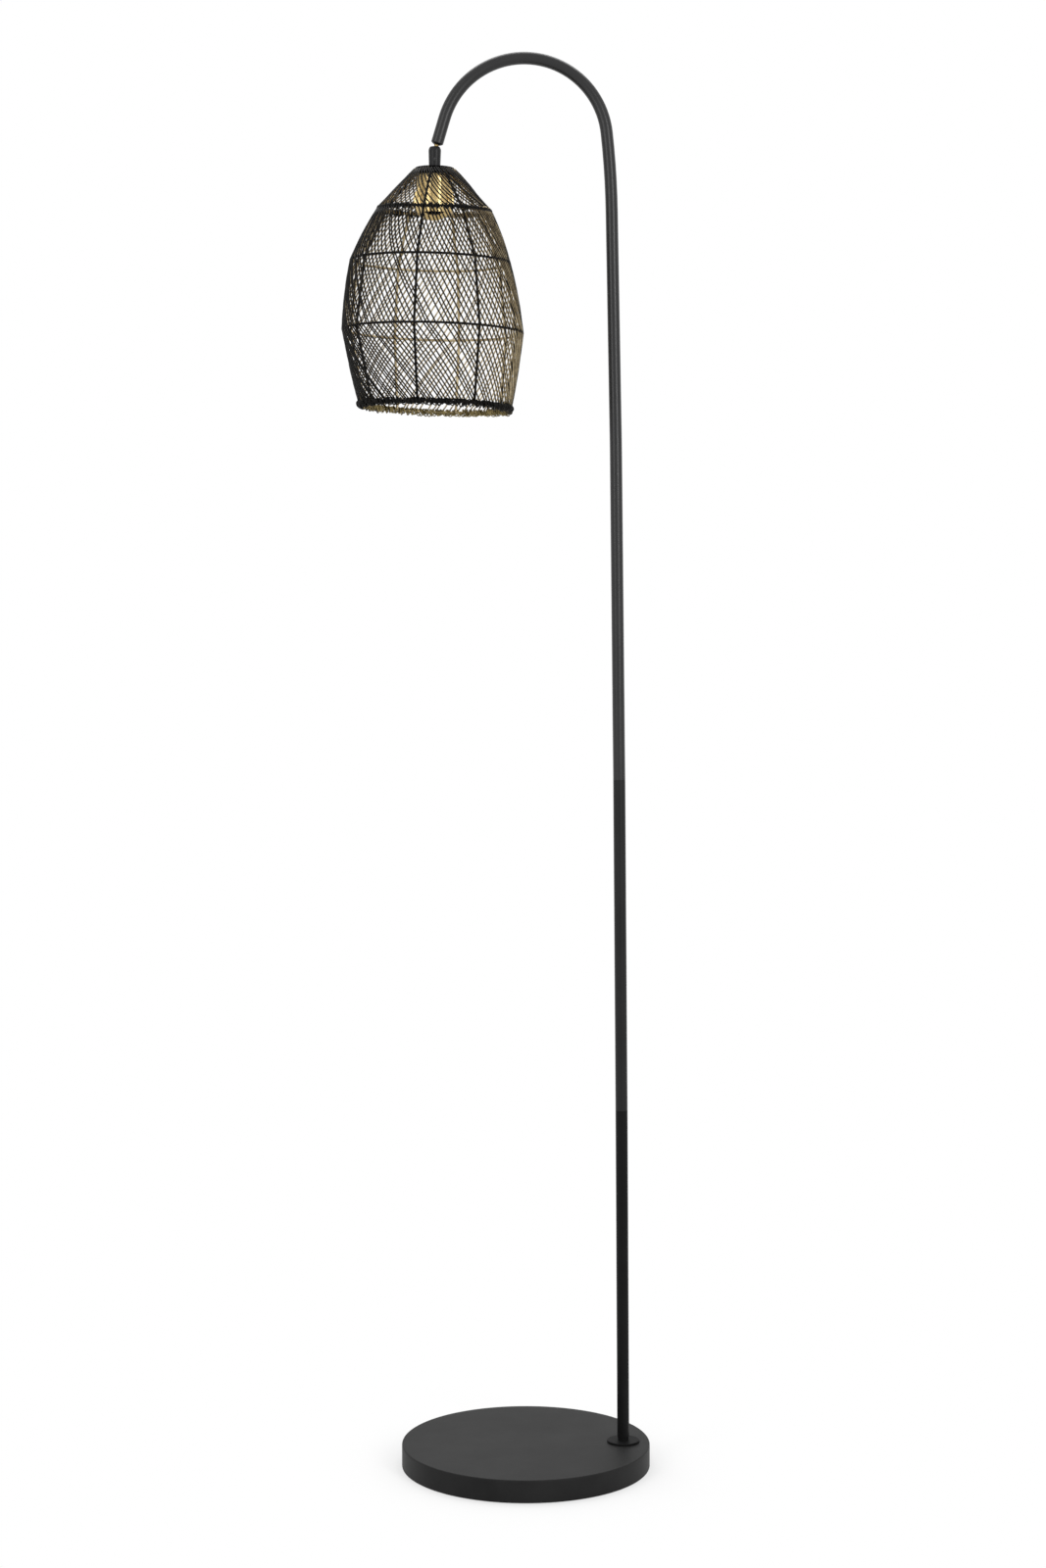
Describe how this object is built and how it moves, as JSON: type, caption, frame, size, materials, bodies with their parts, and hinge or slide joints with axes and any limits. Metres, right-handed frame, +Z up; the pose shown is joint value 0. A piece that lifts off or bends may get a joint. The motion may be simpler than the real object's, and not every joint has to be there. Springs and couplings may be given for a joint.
{
  "type": "wire cage floor lamp",
  "caption": "Floor lamp with a round weighted base, a slim offset pole bent over at the top and a hanging wire cage shade on a ball joint.",
  "frame": {"origin": "middle of the base's underside, on the floor", "axes": "+Z up, the pole stands at +X, the shade hangs towards -X, and the front faces -Y"},
  "size_m": [0.3682, 0.3016, 1.6882],
  "materials": {
    "black_powder_coat": "fine-textured satin powder coat",
    "black_wire": "thin satin lacquer on hand-soldered steel wire, brass-tinted inside",
    "polished_brass": "lightly brushed and lacquered",
    "zinc_plated_steel": "zinc plated",
    "cast_iron_weight": "as cast, dipped",
    "black_felt": "matte felt",
    "black_rubber": "matte",
    "white_nylon": "moulded",
    "black_phenolic": "moulded, satin gloss",
    "cord_sheath": "smooth sheath"
  },
  "bodies": {
    "stand": {"base_cover": "black_powder_coat", "base_weight": "cast_iron_weight", "bottom_plate": "zinc_plated_steel", "plate_screws": "zinc_plated_steel", "base_felt": "black_felt", "cord_grommet": "black_rubber", "terminal_block": "white_nylon", "block_screw": "zinc_plated_steel", "pole_flange": "black_powder_coat", "pole_nipple": "zinc_plated_steel", "nipple_washer": "zinc_plated_steel", "nipple_nut": "zinc_plated_steel", "pole_foot_bush": "zinc_plated_steel", "lower_pole_tube": "black_powder_coat", "middle_pole_tube": "black_powder_coat", "upper_pole_tube": "black_powder_coat", "lower_pole_coupler": "zinc_plated_steel", "middle_pole_coupler": "zinc_plated_steel", "upper_pole_coupler": "zinc_plated_steel", "bent_arm": "black_powder_coat", "arm_end_plug": "black_powder_coat", "plug_screw": "zinc_plated_steel", "pole_lead": "cord_sheath"},
    "ball": {"ball_stud": "black_powder_coat", "stud_washer": "zinc_plated_steel", "stud_nut": "zinc_plated_steel"},
    "cup": {"ball_cup": "black_powder_coat", "friction_seat": "white_nylon", "seat_spring": "zinc_plated_steel", "retaining_bush": "zinc_plated_steel", "cup_screw": "zinc_plated_steel"},
    "shade": {"head_nipple": "zinc_plated_steel", "shade_cap": "black_wire", "cap_washer": "zinc_plated_steel", "cap_nut": "zinc_plated_steel", "holder_cup": "polished_brass", "lampholder_body": "black_phenolic", "lampholder_shell": "polished_brass", "centre_contact": "polished_brass", "terminal_screws": "zinc_plated_steel", "head_lead": "cord_sheath", "neck_ring": "black_wire", "shoulder_ring": "black_wire", "belly_ring": "black_wire", "rim_ring": "black_wire", "rim_binding": "black_wire", "shade_ribs": "black_wire", "cap_wires": "black_wire", "shoulder_wires": "black_wire", "belly_wires": "black_wire", "skirt_wires": "black_wire"}
  },
  "joints": [
    {"name": "neck_swivel", "type": "hinge", "parent": "stand", "child": "ball", "pos_m": [-0.10736, 0, 1.57307], "axis": [0.2882, 0, 0.9576], "range_deg": [-170, 170]},
    {"name": "ball_tilt", "type": "hinge", "parent": "ball", "child": "cup", "pos_m": [-0.10736, 0, 1.57307], "axis": [0, 1, 0], "range_deg": [-10.8, 43.1]},
    {"name": "shade_turn", "type": "hinge", "parent": "cup", "child": "shade", "pos_m": [-0.10736, 0, 1.57307], "axis": [0.0105, 0, 0.9999], "range_deg": [-170, 170]}
  ]
}
